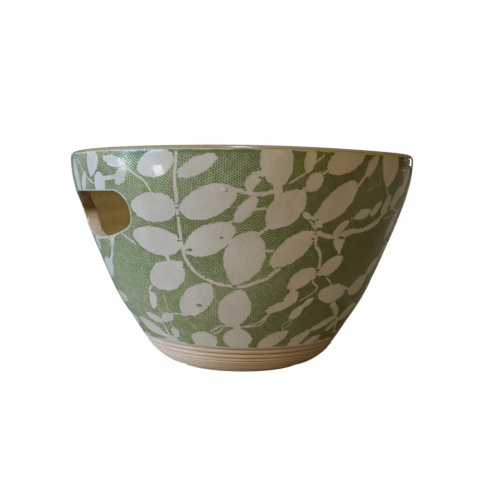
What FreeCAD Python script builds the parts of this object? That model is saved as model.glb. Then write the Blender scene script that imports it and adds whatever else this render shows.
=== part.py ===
"""A yarn bowl: thrown and turned stoneware, a slot through one wall, and the coats fired on to it.

The bowl stands on its turned foot at z = 0, with its axis on Z.  The middle of the slot faces -X.
Every coat is its own solid, and meets the clay or the coat under it face to face.
"""
import math
import os

import FreeCAD
import Part
from FreeCAD import Vector

os.makedirs("parts", exist_ok=True)

# ---------------------------------------------------------------- sizes of the thrown clay, mm
BOWL_HEIGHT = 101.5        # foot to the top of the glazed lip
RIM_RADIUS = 81.7          # bare clay, at the lip
SHOULDER_DROP = 21.4       # below the lip, where the wall starts to stand upright
SHOULDER_TAPER = 4.2       # how much narrower than the rim the wall is there
FLARE_RADIUS = 68.1        # middle of the wall
FLARE_HEIGHT = 53.9
BELLY_RADIUS = 57.3        # low on the wall
BELLY_HEIGHT = 31.0
SLIP_LINE_RADIUS = 46.5    # where the dipped slip ends, at the top of the turned heel
SLIP_LINE_HEIGHT = 14.1
WALL = 4.2
LIP_WALL = 4.0
CORNER_WALL = 5.5          # between the wall and the floor
FLOOR = 6.0
FLOOR_FLAT_RADIUS = 20.0
WALL_PLACES = 9            # up the wall, where the coats and the inside are set off from the clay

# ---------------------------------------------------------------- the turned heel and foot, mm
FOOT_RADIUS = 28.75
FOOT_RING = 5.0            # width of the ring that the bowl stands on
FOOT_RECESS = 1.6          # how far the turned underside is hollowed
FOOT_BEVEL = 0.8
HEEL_BULGE = 2.2           # of the heel's arc, outside its chord
BEADS = (4.0, 3.0, 2.6, 1.9)   # widths of the broad beads, from the slip line down
BEAD_DEPTH = 0.55
FINE_BEAD = 1.55           # width of the tool ridges below them
FINE_DEPTH = 0.25
BARE_BEAD_COUNT = 2        # lowest ridges, wiped clean of glaze

# ---------------------------------------------------------------- coats, mm
SLIP = 0.5
PRINT = 0.3
LINER = 0.4
HEEL_GLAZE = 0.25
SLOT_GLAZE = 0.4

# ---------------------------------------------------------------- the slot that the yarn runs out of, mm
SLOT_WIDTH = 62.0
SLOT_HEIGHT = 20.5
SLOT_DROP = 18.5           # its straight top edge, below the top of the bowl
SLOT_END_RADIUS = 10.0     # lower corners
SLOT_SAG_RADIUS = 75.0     # long curve of its lower edge

# ---------------------------------------------------------------- the lace pattern
# The leaves are places where the lace is solid cloth, so the green stays off them.  Each leaf is:
# degrees round from the slot, per cent of the way up from the slip line to the lip, lean in degrees
# from level, length in mm and breadth in mm.
LACE_REPEATS = 2           # times round the bowl
LEAF_REACH = 6.0           # of a leaf's cutter, each side of the surface
SPRIGS = {
    "slot_sprig": [
        (-10, 40, 22, 22, 8), (-10, 23.5, 0, 17, 6.5), (-11, 9.5, 0, 17, 8),
        (-8, 52, 28, 13, 5.5), (7, 53, 38, 11, 3.5), (8, 8, -20, 15, 6.5),
    ],
    "rim_sprig": [
        (-7, 92, 100, 17, 10), (1, 86.5, 47, 11, 4.5), (9, 96.5, 65, 13, 7),
        (11, 86.5, 27, 13, 5.5), (20, 97, -14, 16, 5.5), (23, 89.5, 27, 14, 5),
    ],
    "heel_sprig": [
        (15, 16.5, 20, 10, 4), (19, 23.5, 60, 9.5, 4), (25.5, 15.5, 28, 9, 3),
        (25, 8, 26, 8, 3), (43, 3.5, 15, 15, 8), (60, 5.5, 40, 13, 9),
    ],
    "tall_sprig": [
        (36, 94, 12, 18, 10), (48.5, 94, 30, 19, 6.5), (33, 74, 2, 22, 12),
        (52, 76.5, 22, 26, 11), (31.5, 56.5, -7, 25, 12), (51, 58, 29, 24, 10.5),
        (32.5, 39.5, 29, 22, 10), (42, 26.5, 40, 21, 8.5),
    ],
    "middle_sprig": [
        (62.5, 49, 65, 22, 13), (58, 22, 50, 18, 10.5), (79.5, 53.5, 43, 24, 10.5),
        (75.5, 73, 45, 21, 12.5), (92, 75.5, 40, 26, 12), (84.5, 37.5, 35, 15, 7),
        (97, 44, 35, 12.5, 7), (64, 73.5, 44, 10, 4.5), (66.5, 84.5, 36, 9, 4),
    ],
    "upper_sprig": [
        (72.5, 95.5, 95, 21, 12), (80, 97.5, 110, 11, 4.5), (83.5, 86, 55, 9, 6),
        (94, 97.5, 27, 23, 11), (104.5, 94.5, 52, 11, 4), (116, 95.5, 60, 20, 12.5),
    ],
    "creeping_sprig": [
        (96, 62.5, 50, 9.5, 3.5), (103.5, 69, 14, 14, 4), (97.5, 54, 115, 8.5, 4.5),
        (111.5, 72.5, 45, 9, 4.5), (117.2, 73.5, 65, 9.5, 5), (113.5, 64, 25, 12, 3.5),
        (122.5, 77.5, 60, 10, 6), (129, 87, 60, 15, 9), (128, 63.5, 70, 14, 7),
    ],
    "low_sprig": [
        (76, 22, 22, 9.5, 3), (82.5, 27, 45, 8, 5), (86.5, 20.5, 60, 9, 4.5),
        (91, 25.5, 45, 5.5, 3), (77.5, 5.5, 35, 14, 7.5), (93, 5.5, 40, 11, 6),
    ],
    "broad_sprig": [
        (101.5, 29, -5, 15, 8), (118.5, 31, 15, 15, 10), (107, 13, 28, 14, 5),
        (103.5, 2, 25, 10, 4.5), (114.5, 9.5, 50, 8, 5), (123.5, 16.5, 30, 14, 9),
        (125.5, 41, 30, 13, 8), (133, 50, 60, 12, 7),
    ],
    "far_sprig": [
        (148, 94, 40, 17, 9), (146, 73, 30, 20, 10), (148, 54, 35, 18, 9),
        (143, 35.5, 40, 16, 8), (140, 17.5, 45, 12, 6), (151, 7, 30, 12, 6),
    ],
}

# ---------------------------------------------------------------- places worked out from the sizes
LIP_Z = BOWL_HEIGHT - LINER - LIP_WALL / 2
FLOOR_Z = FOOT_RECESS + FLOOR
SLOT_TOP = BOWL_HEIGHT - SLOT_DROP
SLOT_BOTTOM = SLOT_TOP - SLOT_HEIGHT
AXIS_UP = Vector(0, 0, 1)
AXIS_OUT = Vector(1, 0, 0)


def spot(radius, height):
    """A point of the half-section, which is drawn in the XZ plane."""
    return Vector(radius, 0, height)


def turned_left(direction):
    """A section direction turned a quarter, from along the wall to into the bowl."""
    return Vector(-direction.z, 0, direction.x)


def line(start, end):
    return Part.LineSegment(start, end).toShape()


def arc(start, middle, end):
    return Part.Arc(start, middle, end).toShape()


# ---------------------------------------------------------------- the heel's arc and its beads
SLIP_LINE = spot(SLIP_LINE_RADIUS, SLIP_LINE_HEIGHT)
FOOT_EDGE = spot(FOOT_RADIUS, FOOT_BEVEL)
CHORD = SLIP_LINE - FOOT_EDGE
HEEL_RADIUS = CHORD.Length ** 2 / (8 * HEEL_BULGE) + HEEL_BULGE / 2
HEEL_CENTRE = (
    (SLIP_LINE + FOOT_EDGE) * 0.5
    + turned_left(CHORD).normalize() * (HEEL_RADIUS - HEEL_BULGE)
)
HEEL_OUTWARD = (SLIP_LINE - HEEL_CENTRE).normalize()
HEEL_UPWARD = turned_left(HEEL_OUTWARD)


def heel_spot(angle, radius):
    """A point at an angle round the heel's centre, in radians down from the slip line."""
    return HEEL_CENTRE + (HEEL_OUTWARD * math.cos(angle) - HEEL_UPWARD * math.sin(angle)) * radius


def bead_list():
    """Every bead's angles and depth, from the slip line to the foot."""
    whole = 2 * math.asin(CHORD.Length / (2 * HEEL_RADIUS))
    widths = [(width / HEEL_RADIUS, BEAD_DEPTH) for width in BEADS]
    rest = whole - sum(width for width, depth in widths)
    ridges = max(BARE_BEAD_COUNT + 1, round(rest * HEEL_RADIUS / FINE_BEAD))
    widths += [(rest / ridges, FINE_DEPTH)] * ridges
    beads = []
    start = 0.0
    for width, depth in widths:
        beads.append((start, start + width, depth))
        start += width
    return beads


def bead_edges(beads, coat):
    """The beads as arcs from groove to groove, `coat` outside the clay."""
    edges = []
    for start, end, depth in beads:
        groove = HEEL_RADIUS - BEAD_DEPTH + coat
        crest = heel_spot((start + end) / 2, groove + depth)
        edges.append(arc(heel_spot(start, groove), crest, heel_spot(end, groove)))
    return edges


# ---------------------------------------------------------------- the wall's curves
def wall_stations():
    """Points up the outside of the clay, and the way the wall runs at its two ends."""
    lip = spot(RIM_RADIUS, LIP_Z)
    shoulder = spot(RIM_RADIUS - SHOULDER_TAPER, LIP_Z - SHOULDER_DROP)
    flare = spot(FLARE_RADIUS, FLARE_HEIGHT)
    belly = spot(BELLY_RADIUS, BELLY_HEIGHT)
    return [SLIP_LINE, belly, flare, shoulder, lip]


def spline(points, start_way, end_way):
    curve = Part.BSplineCurve()
    curve.interpolate(Points=points, InitialTangent=start_way, FinalTangent=end_way)
    return curve


CLAY_WALL = spline(wall_stations(), HEEL_UPWARD, AXIS_UP)


def outward_at(curve, parameter):
    """The wall's outward normal at a place on its section curve."""
    along = Vector(*curve.tangent(parameter)[0]).normalize()
    return turned_left(along) * -1


def wall_places():
    """Points up the outside of the clay, each with its outward normal."""
    start, end = CLAY_WALL.FirstParameter, CLAY_WALL.LastParameter
    step = (end - start) / (WALL_PLACES - 1)
    parameters = [start + step * index for index in range(WALL_PLACES)]
    return [(CLAY_WALL.value(along), outward_at(CLAY_WALL, along)) for along in parameters]


def wall_curve(coat):
    """The wall's section, `coat` outside the clay, from the slip line up to the lip."""
    points = [point + outward * coat for point, outward in wall_places()]
    return spline(points, HEEL_UPWARD, AXIS_UP)


def inside_curve(coat):
    """The inside's section, `coat` proud of the clay, from the flat of the floor up to the lip."""
    depths = [CORNER_WALL] + [WALL] * (WALL_PLACES - 2) + [LIP_WALL]
    points = [spot(FLOOR_FLAT_RADIUS, FLOOR_Z + coat)]
    for (point, outward), depth in zip(wall_places(), depths):
        points.append(point - outward * (depth + coat))
    return spline(points, AXIS_OUT, AXIS_UP)


def lip_edge(coat):
    """The rounded lip, from the outside of the wall over to the inside."""
    outside = spot(RIM_RADIUS + coat, LIP_Z)
    inside = spot(RIM_RADIUS - LIP_WALL - coat, LIP_Z)
    crest = spot(RIM_RADIUS - LIP_WALL / 2, LIP_Z + LIP_WALL / 2 + coat)
    return arc(outside, crest, inside)


def turned(edges):
    """A solid turned on the bowl's axis from the closed half-section that the edges bound."""
    wire = Part.Wire(Part.__sortEdges__(edges))
    return Part.Face(wire).revolve(Vector(0, 0, 0), AXIS_UP, 360)


def band(inner, outer):
    """A coat between two section curves, closed by a straight edge at each end."""
    return turned([
        inner.toShape(),
        outer.toShape(),
        line(inner.StartPoint, outer.StartPoint),
        line(inner.EndPoint, outer.EndPoint),
    ])


# ---------------------------------------------------------------- the slot
def slot_block(grow):
    """The slot's shape as a block through the -X wall, `grow` larger all round."""
    half_width = SLOT_WIDTH / 2 + grow
    end_radius = SLOT_END_RADIUS + grow
    sag_radius = SLOT_SAG_RADIUS + grow
    top = SLOT_TOP + grow
    bottom = SLOT_BOTTOM - grow
    end_y = half_width - end_radius
    end_z = bottom + sag_radius - math.sqrt((sag_radius - end_radius) ** 2 - end_y ** 2)
    corner_radius = top - end_z
    corner_y = half_width - corner_radius
    lean = math.asin(end_y / (sag_radius - end_radius))
    mid_lean = (lean + math.pi / 2) / 2
    meet_y = sag_radius * math.sin(lean)
    meet_z = bottom + sag_radius * (1 - math.cos(lean))

    def at(y, z):
        return Vector(-RIM_RADIUS * 1.2, y, z)

    edges = [line(at(-corner_y, top), at(corner_y, top)), arc(
        at(-meet_y, meet_z), at(0, bottom), at(meet_y, meet_z))]
    diagonal = corner_radius * math.sqrt(0.5)
    for side in (-1, 1):
        edges.append(arc(
            at(side * corner_y, top),
            at(side * (corner_y + diagonal), end_z + diagonal),
            at(side * half_width, end_z)))
        edges.append(arc(
            at(side * half_width, end_z),
            at(side * (end_y + end_radius * math.sin(mid_lean)),
               end_z - end_radius * math.cos(mid_lean)),
            at(side * meet_y, meet_z)))
    wire = Part.Wire(Part.__sortEdges__(edges))
    return Part.Face(wire).extrude(AXIS_OUT * RIM_RADIUS)


# ---------------------------------------------------------------- the leaves
def leaf_cutter(surface, turn, rise, lean, length, breadth):
    """A pointed leaf of two arcs, standing through the wall where it lies on the lace."""
    tip = Vector(length / 2, 0, -LEAF_REACH)
    base = Vector(-length / 2, 0, -LEAF_REACH)
    blade = Part.Face(Part.Wire([
        arc(base, Vector(0, breadth / 2, -LEAF_REACH), tip),
        arc(tip, Vector(0, -breadth / 2, -LEAF_REACH), base),
    ])).extrude(AXIS_UP * (2 * LEAF_REACH))
    blade.rotate(Vector(0, 0, 0), AXIS_UP, lean)

    height = SLIP_LINE_HEIGHT + (LIP_Z - SLIP_LINE_HEIGHT) * rise / 100
    level = Part.LineSegment(spot(0, height), spot(2 * RIM_RADIUS, height))
    crossing = surface.intersect(level)[0]
    place = spot(crossing.X, crossing.Z)
    outward = outward_at(surface, surface.parameter(place))
    facing = FreeCAD.Rotation(Vector(0, 1, 0), turned_left(outward), outward, "ZXY")
    blade.Placement = FreeCAD.Placement(place, facing).multiply(blade.Placement)
    blade.rotate(Vector(0, 0, 0), AXIS_UP, 180 + turn)
    return blade


def leaf_cutters(surface):
    cutters = []
    for repeat in range(LACE_REPEATS):
        for leaves in SPRIGS.values():
            for turn, *rest in leaves:
                cutters.append(leaf_cutter(surface, turn + repeat * 360 / LACE_REPEATS, *rest))
    return cutters


# ---------------------------------------------------------------- the pieces
def clay_body(cut):
    """Thrown wall, lip and floor, with the turned heel, the foot ring and its hollow."""
    beads = bead_list()
    groove = HEEL_RADIUS - BEAD_DEPTH
    inside = inside_curve(0)
    ring = FOOT_RADIUS - FOOT_RING
    last = heel_spot(beads[-1][1], groove)
    section = bead_edges(beads, 0) + [
        line(heel_spot(0, groove), SLIP_LINE),
        CLAY_WALL.toShape(),
        lip_edge(0),
        inside.toShape(),
        line(inside.StartPoint, spot(0, FLOOR_Z)),
        line(spot(0, FLOOR_Z), spot(0, FOOT_RECESS)),
        line(spot(0, FOOT_RECESS), spot(ring - FOOT_RECESS, FOOT_RECESS)),
        line(spot(ring - FOOT_RECESS, FOOT_RECESS), spot(ring, 0)),
        line(spot(ring, 0), spot(FOOT_RADIUS - FOOT_BEVEL, 0)),
        line(spot(FOOT_RADIUS - FOOT_BEVEL, 0), last),
    ]
    return turned(section).cut(cut)


def slip_coat(cut):
    """White slip from the slip line to the lip."""
    return band(CLAY_WALL, wall_curve(SLIP)).cut(cut)


def lace_print(cut):
    """Green slip left by the lace, open at every leaf."""
    surface = wall_curve(SLIP + PRINT)
    return band(wall_curve(SLIP), surface).cut([cut] + leaf_cutters(surface))


def liner_glaze(cut):
    """Honey glaze over the whole inside, over the lip and down to the slip."""
    clay = inside_curve(0)
    glaze = inside_curve(LINER)
    section = [
        line(spot(RIM_RADIUS, LIP_Z), spot(RIM_RADIUS + LINER, LIP_Z)),
        lip_edge(LINER),
        glaze.toShape(),
        line(glaze.StartPoint, spot(0, FLOOR_Z + LINER)),
        line(spot(0, FLOOR_Z + LINER), spot(0, FLOOR_Z)),
        line(spot(0, FLOOR_Z), clay.StartPoint),
        clay.toShape(),
        lip_edge(0),
    ]
    return turned(section).cut(cut)


def heel_glaze():
    """Tan glaze over the turned beads, wiped off the lowest ones."""
    beads = bead_list()[:-BARE_BEAD_COUNT]
    groove = HEEL_RADIUS - BEAD_DEPTH
    foot_angle = beads[-1][1]
    return turned(bead_edges(beads, 0) + bead_edges(beads, HEEL_GLAZE) + [
        line(heel_spot(0, groove), heel_spot(0, groove + HEEL_GLAZE)),
        line(heel_spot(foot_angle, groove), heel_spot(foot_angle, groove + HEEL_GLAZE)),
    ])


def slot_glaze():
    """Glaze round the slot's cut face, from the outside of the print to the inside of the liner."""
    lining = slot_block(SLOT_GLAZE).cut(slot_block(0))
    wall = band(inside_curve(LINER), wall_curve(SLIP + PRINT))
    return lining.common(wall)


def main():
    cut = slot_block(SLOT_GLAZE)
    pieces = {
        "clay_body": clay_body(cut),
        "slip_coat": slip_coat(cut),
        "lace_print": lace_print(cut),
        "liner_glaze": liner_glaze(cut),
        "heel_glaze": heel_glaze(),
        "slot_glaze": slot_glaze(),
    }
    for node, shape in pieces.items():
        shape.exportStep("parts/" + node + ".step")
        box = shape.BoundBox
        print(node, "solids", len(shape.Solids), "valid", shape.isValid(),
              "volume", round(shape.Volume, 1), "box", round(box.XMin, 2), round(box.XMax, 2),
              round(box.ZMin, 2), round(box.ZMax, 2))


main()
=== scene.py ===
from math import asin, atan2, copysign, cos, degrees, exp, hypot, pi, radians, sin, sqrt, tau

import bmesh
import bpy
import numpy as np
from mathutils import Matrix, Vector, noise


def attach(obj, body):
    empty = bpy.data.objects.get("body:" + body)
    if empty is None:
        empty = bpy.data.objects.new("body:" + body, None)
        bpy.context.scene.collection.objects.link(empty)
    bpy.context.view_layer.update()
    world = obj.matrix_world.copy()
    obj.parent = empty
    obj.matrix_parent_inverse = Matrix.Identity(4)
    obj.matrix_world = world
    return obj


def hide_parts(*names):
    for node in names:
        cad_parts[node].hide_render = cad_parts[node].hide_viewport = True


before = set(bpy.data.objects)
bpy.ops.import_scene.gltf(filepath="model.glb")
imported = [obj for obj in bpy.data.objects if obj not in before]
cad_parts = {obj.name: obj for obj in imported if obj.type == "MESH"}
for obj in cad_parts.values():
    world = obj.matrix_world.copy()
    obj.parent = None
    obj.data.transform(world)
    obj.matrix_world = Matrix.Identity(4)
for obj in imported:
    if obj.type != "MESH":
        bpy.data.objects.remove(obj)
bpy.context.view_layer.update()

# Lengths below are millimetres, and every finished piece is scaled to metres at the end.
MM = 0.001

# ---- camera, in metres and radians
VIEW_AZIMUTH = radians(-27.7)
VIEW_DISTANCE = 0.437
VIEW_HEIGHT = 0.0844
VIEW_DOWN = radians(3.27)
VIEW_LEFT = radians(0.093)
VIEW_TILT = radians(0.5)
LENS = 66.75

towards_viewer = Vector((sin(VIEW_AZIMUTH), -cos(VIEW_AZIMUTH), 0))
viewer_right = Vector((cos(VIEW_AZIMUTH), sin(VIEW_AZIMUTH), 0))


def make_camera():
    level = -towards_viewer * cos(VIEW_LEFT) - viewer_right * sin(VIEW_LEFT)
    way = level * cos(VIEW_DOWN) - Vector((0, 0, sin(VIEW_DOWN)))
    data = bpy.data.cameras.new("camera")
    data.lens = LENS
    data.sensor_width = 36.0
    camera = bpy.data.objects.new("camera", data)
    camera.location = towards_viewer * VIEW_DISTANCE + Vector((0, 0, VIEW_HEIGHT))
    turned = way.to_track_quat("-Z", "Y").to_matrix() @ Matrix.Rotation(VIEW_TILT, 3, "Z")
    camera.rotation_euler = turned.to_euler()
    bpy.context.scene.collection.objects.link(camera)
    bpy.context.scene.camera = camera


make_camera()

# ---- sizes of the thrown bowl, mm
BOWL_HEIGHT = 101.5
RIM_RADIUS = 81.7
LIP_WALL = 4.0
LIP_Z = 99.1
WALL = 4.2
CORNER_WALL = 5.5
FLOOR_Z = 7.6
FLOOR_FLAT_RADIUS = 20.0
FOOT_RADIUS = 29.6
FOOT_RING = 5.0
FOOT_RECESS = 1.6
FOOT_BEVEL = 0.8
WALL_STATIONS = [(46.5, 14.1), (57.3, 31.0), (68.1, 53.9), (77.5, 77.7), (81.7, 99.1)]
SLIP_LINE = Vector((46.5, 14.1))
SLIP = 0.5
PRINT = 0.14
LINER = 0.4
HEEL_GLAZE = 0.25
COAT_SINK = 0.1  # how far a coat reaches into what is under it
HEEL_SINK = 0.05
PRINT_SINK = 0.08
SPOT_THICKNESS = 0.12  # of a stray spot of green
BLISTER_THICKNESS = 0.34
TURN_STEPS = 288

HEEL_BULGE = 2.7  # of the heel's arc, outside its chord
BEADS = (3.5, 2.8, 2.1, 1.6)  # widths of the broad beads, from the slip line down
BEAD_DEPTH = 0.55
BEAD_ROUNDNESS = 2
FINE_BEADS = 7  # ridges of the tool, below the broad beads
FINE_DEPTH = 0.48
FINE_ROUNDNESS = 1.3
BARE_BEAD_COUNT = 3  # lowest ridges, wiped clean of glaze

UNDERSIDE_RING = 1.7  # pitch of the tool's marks under the foot
UNDERSIDE_DEPTH = 0.1
UNDERSIDE_STEPS = 64
RING_PITCH = 8.0  # of the throwing rings inside
RING_DEPTH = 0.2
FLOOR_STEPS = 30

SLOT_WIDTH = 64.0
SLOT_TOP = 83.0
SLOT_HEIGHT = 20.5
SLOT_END_RADIUS = 10.0
SLOT_SAG_RADIUS = 75.0
SLOT_SPARE = 0.3  # how far outside its lining the slot is cut in the other pieces

# Degrees round from the middle of the slot to the side of the bowl that the camera faces.
FRONT = 62.3


# ---- section curves
def quarter_left(way):
    return Vector((-way.y, way.x))


FOOT_EDGE = Vector((FOOT_RADIUS, FOOT_BEVEL))
HEEL_CHORD = SLIP_LINE - FOOT_EDGE
HEEL_RADIUS = HEEL_CHORD.length_squared / (8 * HEEL_BULGE) + HEEL_BULGE / 2
HEEL_CENTRE = (
    (SLIP_LINE + FOOT_EDGE) / 2
    + quarter_left(HEEL_CHORD).normalized() * (HEEL_RADIUS - HEEL_BULGE)
)
HEEL_OUTWARD = (SLIP_LINE - HEEL_CENTRE).normalized()
HEEL_UPWARD = quarter_left(HEEL_OUTWARD)
BEAD_FLOOR = HEEL_RADIUS - BEAD_DEPTH


def smooth_curve(stations, start_way, end_way, count):
    """Points and the ways the curve runs, evenly along a smooth curve through the stations."""
    points = np.array([tuple(station) for station in stations], float)
    spans = np.linalg.norm(np.diff(points, axis=0), axis=1)
    slopes = np.diff(points, axis=0) / spans[:, None]
    size = len(points)
    matrix = np.zeros((size, size))
    ways = np.zeros((size, 2))
    matrix[0, 0] = 1
    matrix[-1, -1] = 1
    ways[0] = tuple(start_way)
    ways[-1] = tuple(end_way)
    for i in range(1, size - 1):
        matrix[i, i - 1] = 1 / spans[i - 1]
        matrix[i, i] = 2 / spans[i - 1] + 2 / spans[i]
        matrix[i, i + 1] = 1 / spans[i]
        ways[i] = 3 * (slopes[i - 1] / spans[i - 1] + slopes[i] / spans[i])
    ways = np.linalg.solve(matrix, ways)
    starts = np.concatenate([[0], np.cumsum(spans)])
    along = np.linspace(0, starts[-1], count)
    index = np.clip(np.searchsorted(starts, along, side="right") - 1, 0, size - 2)
    span = spans[index][:, None]
    t = ((along - starts[index]) / spans[index])[:, None]
    spot_a, spot_b = points[index], points[index + 1]
    way_a, way_b = ways[index], ways[index + 1]
    spot = (
        (2 * t**3 - 3 * t**2 + 1) * spot_a
        + (t**3 - 2 * t**2 + t) * span * way_a
        + (3 * t**2 - 2 * t**3) * spot_b
        + (t**3 - t**2) * span * way_b
    )
    way = (
        (6 * t**2 - 6 * t) / span * spot_a
        + (3 * t**2 - 4 * t + 1) * way_a
        + (6 * t - 6 * t**2) / span * spot_b
        + (3 * t**2 - 2 * t) * way_b
    )
    return spot, way / np.linalg.norm(way, axis=1)[:, None]


WALL_START = radians(60.5)
WALL_SPOTS, WALL_WAYS = smooth_curve(
    WALL_STATIONS, (cos(WALL_START), sin(WALL_START)), (0, 1), 801)
WALL_OUTWARD = np.stack([WALL_WAYS[:, 1], -WALL_WAYS[:, 0]], axis=1)


def wall_point(height, coat):
    """The wall's section at a height, `coat` outside the clay."""
    spots = WALL_SPOTS + WALL_OUTWARD * coat
    return Vector((float(np.interp(height, spots[:, 1], spots[:, 0])), height))


def wall_outward(height):
    outward_r = np.interp(height, WALL_SPOTS[:, 1], WALL_OUTWARD[:, 0])
    outward_z = np.interp(height, WALL_SPOTS[:, 1], WALL_OUTWARD[:, 1])
    return Vector((float(outward_r), float(outward_z))).normalized()


def wall_line(coat, low, high, count=56):
    """Section points up the wall between two heights, `coat` outside the clay."""
    spots = WALL_SPOTS + WALL_OUTWARD * coat
    inside = spots[(spots[:, 1] > low + 0.1) & (spots[:, 1] < high - 0.1)]
    chosen = inside[np.linspace(0, len(inside) - 1, count).astype(int)]
    middle = [Vector((float(r), float(z))) for r, z in chosen]
    return [wall_point(low, coat)] + middle + [wall_point(high, coat)]


def inside_line(coat, count=60):
    """Section points of the inside, `coat` proud of the clay, from the floor up to the lip."""
    places = np.linspace(0, len(WALL_SPOTS) - 1, 9).astype(int)
    depths = [CORNER_WALL] + [WALL] * 7 + [LIP_WALL]
    stations = [(FLOOR_FLAT_RADIUS, FLOOR_Z + coat)]
    for place, depth in zip(places, depths):
        stations.append(tuple(WALL_SPOTS[place] - WALL_OUTWARD[place] * (depth + coat)))
    spots = smooth_curve(stations, (1, 0), (0, 1), count)[0]
    return [Vector((float(r), float(z))) for r, z in spots]


def lip_spot(angle, coat):
    """A point on the rounded lip, by radians up from its outer side."""
    centre = Vector((RIM_RADIUS - LIP_WALL / 2, LIP_Z))
    return centre + Vector((cos(angle), sin(angle))) * (LIP_WALL / 2 + coat)


def lip_line(outer_coat, inner_coat, count=16, start=0.0):
    """Section points over the rounded lip, from the outside to the inside."""
    points = []
    for step in range(1, count):
        share = start + (1 - start) * step / count
        coat = outer_coat + (inner_coat - outer_coat) * min(1, 2 * share)
        points.append(lip_spot(pi * share, coat))
    return points


def heel_spot(angle, radius):
    way = HEEL_OUTWARD * cos(angle) - HEEL_UPWARD * sin(angle)
    return HEEL_CENTRE + way * radius


def bead_list():
    """Every turned bead's angles and depth, from the slip line to the foot."""
    whole = 2 * asin(HEEL_CHORD.length / (2 * HEEL_RADIUS))
    widths = [(width / HEEL_RADIUS, BEAD_DEPTH) for width in BEADS]
    rest = whole - sum(width for width, depth in widths)
    widths += [(rest / FINE_BEADS, FINE_DEPTH)] * FINE_BEADS
    beads = []
    start = 0.0
    for width, depth in widths:
        beads.append((start, start + width, depth))
        start += width
    return beads


def bead_line(beads, coat, cuts=8):
    """Section points over the beads, from the slip line down."""
    points = []
    for start, end, depth in beads:
        for step in range(cuts):
            share = step / cuts
            roundness = BEAD_ROUNDNESS if depth == BEAD_DEPTH else FINE_ROUNDNESS
            crest = 1 - abs(2 * share - 1) ** roundness
            points.append(heel_spot(start + (end - start) * share, BEAD_FLOOR + coat + depth * crest))
    points.append(heel_spot(beads[-1][1], BEAD_FLOOR + coat))
    return points


# ---- making and finishing pieces
WELD = 0.001


def lathe(section):
    """A shell turned on the bowl's axis from a closed half-section of (radius, height) points."""
    bm = bmesh.new()
    ring = [bm.verts.new((point.x, 0, point.y)) for point in section]
    edges = [bm.edges.new(pair) for pair in zip(ring, ring[1:] + ring[:1])]
    bmesh.ops.spin(
        bm, geom=ring + edges, cent=(0, 0, 0), axis=(0, 0, 1), angle=pi / 2, steps=TURN_STEPS // 4)
    for axis in ("X", "Y"):
        bmesh.ops.mirror(
            bm, geom=bm.verts[:] + bm.edges[:] + bm.faces[:], axis=axis, merge_dist=WELD)
    bmesh.ops.remove_doubles(bm, verts=bm.verts, dist=WELD)
    return bm


def push_out(bm, faces, way):
    """Makes the flat faces into a block that reaches `way` from them."""
    grown = bmesh.ops.extrude_face_region(bm, geom=faces)
    moved = [item for item in grown["geom"] if isinstance(item, bmesh.types.BMVert)]
    bmesh.ops.translate(bm, vec=way, verts=moved)


def as_object(name, bm):
    """The made shell as an object, with its faces outward."""
    bmesh.ops.recalc_face_normals(bm, faces=bm.faces)
    mesh = bpy.data.meshes.new(name)
    bm.to_mesh(mesh)
    bm.free()
    piece = bpy.data.objects.new(name, mesh)
    bpy.context.scene.collection.objects.link(piece)
    return piece


def carve(piece, tools):
    """Cuts all the tools out of the piece."""
    shelf = bpy.data.collections.new("tools")
    bpy.context.scene.collection.children.link(shelf)
    for tool in tools:
        shelf.objects.link(tool)
    cut = piece.modifiers.new("cut", "BOOLEAN")
    cut.operation = "DIFFERENCE"
    cut.solver = "MANIFOLD"
    cut.operand_type = "COLLECTION"
    cut.collection = shelf
    graph = bpy.context.evaluated_depsgraph_get()
    carved = bpy.data.meshes.new_from_object(piece.evaluated_get(graph))
    piece.modifiers.clear()
    old = piece.data
    piece.data = carved
    bpy.data.meshes.remove(old)
    bpy.data.collections.remove(shelf)


def turn_of(point):
    """Degrees round from the middle of the slot."""
    return degrees(atan2(-point.y, -point.x))


def ease(value, low, high):
    share = max(0.0, min(1.0, (value - low) / (high - low)))
    return share * share * (3 - 2 * share)


# How unevenly the bowl was thrown, in mm: its rim's dip, ripple and out-of-round, and its heel's droop.
RIM_WARP = 0.62
RIM_WARP_TURN = radians(15)
RIM_RIPPLE = 0.08
RIM_OVAL = 0.15
RIM_THREE_SIDED = 0.06
HEEL_WARP = 0.92
HEEL_LEAN = 0.55
HEEL_SWELL = 0.75  # outward for each mm of droop
HEEL_FADE = 55  # height at which the droop has gone


def hand_thrown(point):
    """Where a point of the true turned shape lies on the bowl as thrown by hand."""
    turn = radians(turn_of(point) - FRONT)
    rise = max(0.0, point.z) / BOWL_HEIGHT
    lift = rise * rise * RIM_WARP * cos(2 * (turn + RIM_WARP_TURN))
    lift += rise * RIM_RIPPLE * sin(5 * turn + 1.0)
    heel = ease(point.z, 0, 8) * (1 - ease(point.z, SLIP_LINE.y, HEEL_FADE))
    warp = heel * (HEEL_WARP * sin(turn) ** 2 - HEEL_LEAN * sin(turn))
    lift += warp
    uneven = RIM_OVAL * cos(2 * turn + 0.7) + RIM_THREE_SIDED * sin(3 * turn)
    out = HEEL_SWELL * warp + rise * uneven
    radius = hypot(point.x, point.y)
    grow = 1 + out / radius if radius > 1 else 1
    return Vector((point.x * grow, point.y * grow, point.z + lift))


def finish_piece(piece, node, material, sharp=38):
    """Gives the piece its thrown shape, its shading and its place in the frame."""
    bm = bmesh.new()
    bm.from_mesh(piece.data)
    for vert in bm.verts:
        vert.co = hand_thrown(vert.co)
    bmesh.ops.scale(bm, vec=(MM, MM, MM), verts=bm.verts)
    for face in bm.faces:
        face.smooth = True
    for edge in bm.edges:
        if len(edge.link_faces) == 2 and edge.calc_face_angle(0) > radians(sharp):
            edge.smooth = False
    bm.to_mesh(piece.data)
    bm.free()
    piece.data.materials.clear()
    piece.data.materials.append(material)
    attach(piece, "root")
    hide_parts(node)


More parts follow.
